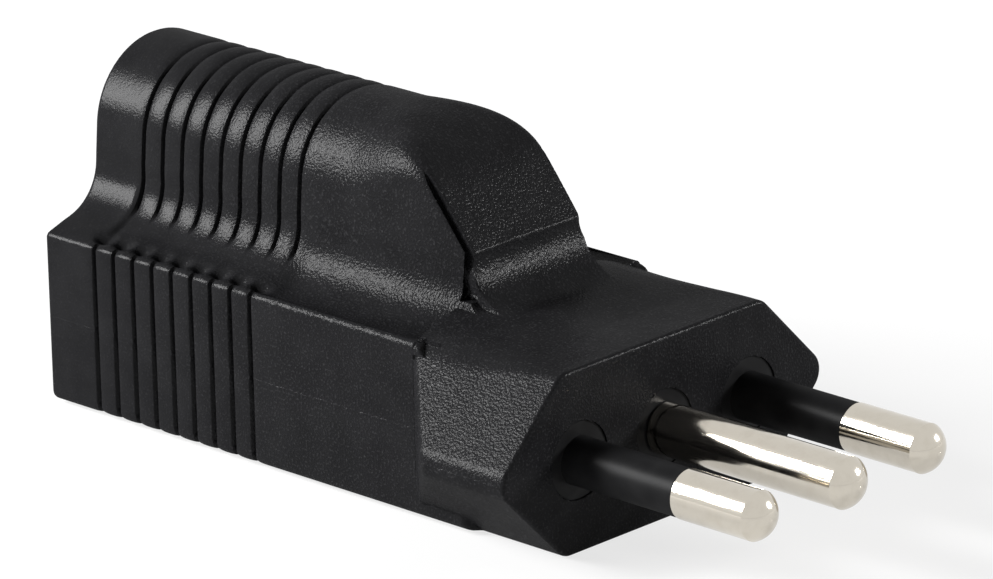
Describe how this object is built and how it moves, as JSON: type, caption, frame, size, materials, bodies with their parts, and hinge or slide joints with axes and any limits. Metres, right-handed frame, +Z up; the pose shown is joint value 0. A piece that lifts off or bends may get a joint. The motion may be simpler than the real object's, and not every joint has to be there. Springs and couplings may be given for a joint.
{
  "type": "plug adapter",
  "caption": "Black moulded plug adapter with round pins in line at one end, a grounded slotted socket at the other and a tall ribbed grip.",
  "frame": {"origin": "on the plug's face, at the middle of the earth pin", "axes": "+X along the pins and away from the body, +Z up through the hump, +Y to the left of someone who looks along +X"},
  "size_m": [0.0755, 0.036, 0.0284],
  "materials": {
    "body": "fine spark-eroded grain",
    "bridge": "smooth moulded",
    "pin": "polished nickel plate with light handling marks",
    "sleeve": "smooth moulded",
    "carrier": "smooth moulded",
    "contact": "stamped strip",
    "strand": "bare copper strands",
    "brown_jacket": "extruded",
    "blue_jacket": "extruded",
    "green_jacket": "extruded",
    "inner": "moulded"
  },
  "bodies": {
    "root": {"body_overmould": "body", "pin_bridge": "bridge", "line_pin": "pin", "neutral_pin": "pin", "earth_pin": "pin", "line_pin_sleeve": "sleeve", "neutral_pin_sleeve": "sleeve", "contact_carrier": "carrier", "carrier_cover": "carrier", "line_contact": "contact", "neutral_contact": "contact", "earth_contact": "contact", "line_conductor": "strand", "neutral_conductor": "strand", "earth_conductor": "strand", "line_insulation": "brown_jacket", "neutral_insulation": "blue_jacket", "earth_insulation": "green_jacket", "inner_mould": "inner"}
  },
  "joints": []
}
